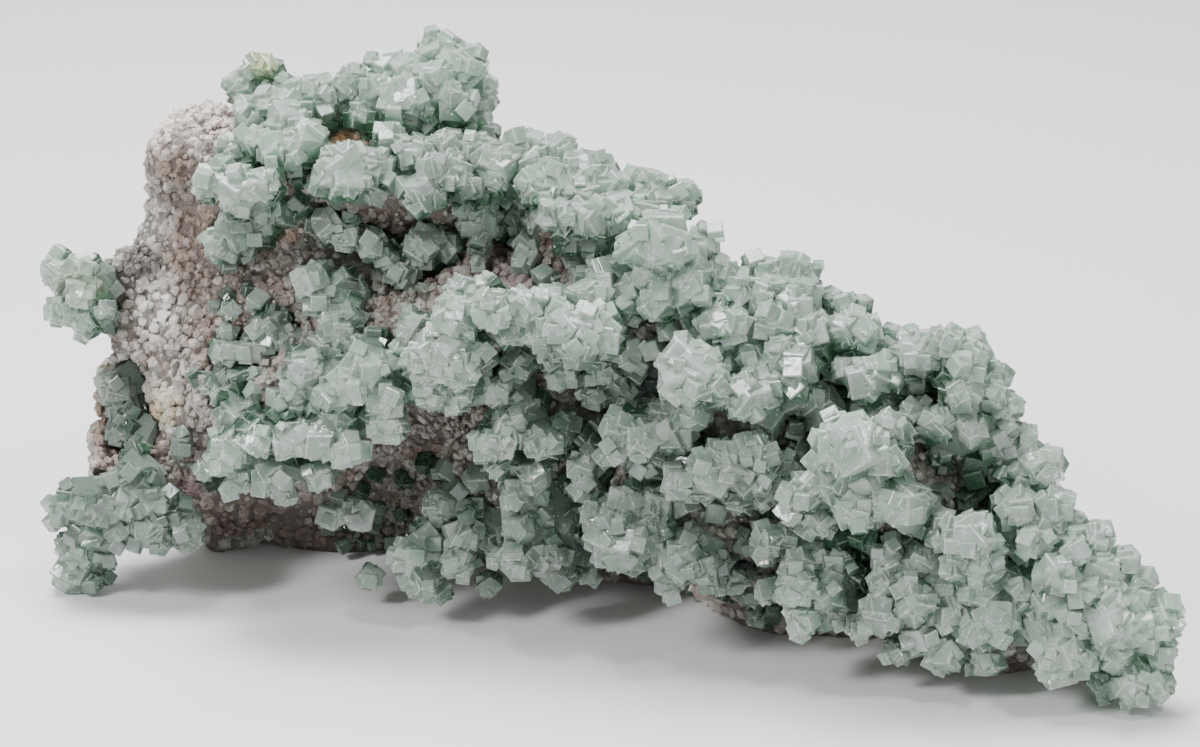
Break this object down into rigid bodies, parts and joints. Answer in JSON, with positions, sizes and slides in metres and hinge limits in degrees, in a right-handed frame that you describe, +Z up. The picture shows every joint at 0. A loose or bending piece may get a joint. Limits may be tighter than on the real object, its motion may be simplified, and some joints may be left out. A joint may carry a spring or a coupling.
{
  "type": "crystal cluster on matrix",
  "caption": "Ledges of grown-together green fluorite cubes over a lumpy quartz matrix, cut flat underneath to rest on.",
  "frame": {"origin": "middle of the bounding box at the flat cut that the matrix rests on", "axes": "+X along the specimen to its low tip, +Y away from the display side, +Z up"},
  "size_m": [0.1624, 0.091, 0.0858],
  "materials": {
    "fluorite": "frosted translucent crystal",
    "quartz_matrix": "rough granular quartz"
  },
  "bodies": {
    "root": {"matrix": "quartz_matrix", "ridge_crystals": "fluorite", "crown_crystals": "fluorite", "lower_right_crystals": "fluorite", "left_foot_crystals": "fluorite", "lower_middle_crystals": "fluorite", "lower_left_crystals": "fluorite", "shelf_crystals": "fluorite", "low_left_crystals": "fluorite", "left_knob_crystals": "fluorite", "left_cheek_crystals": "fluorite", "left_face_crystals": "fluorite", "hollow_crystals": "fluorite"}
  },
  "joints": []
}
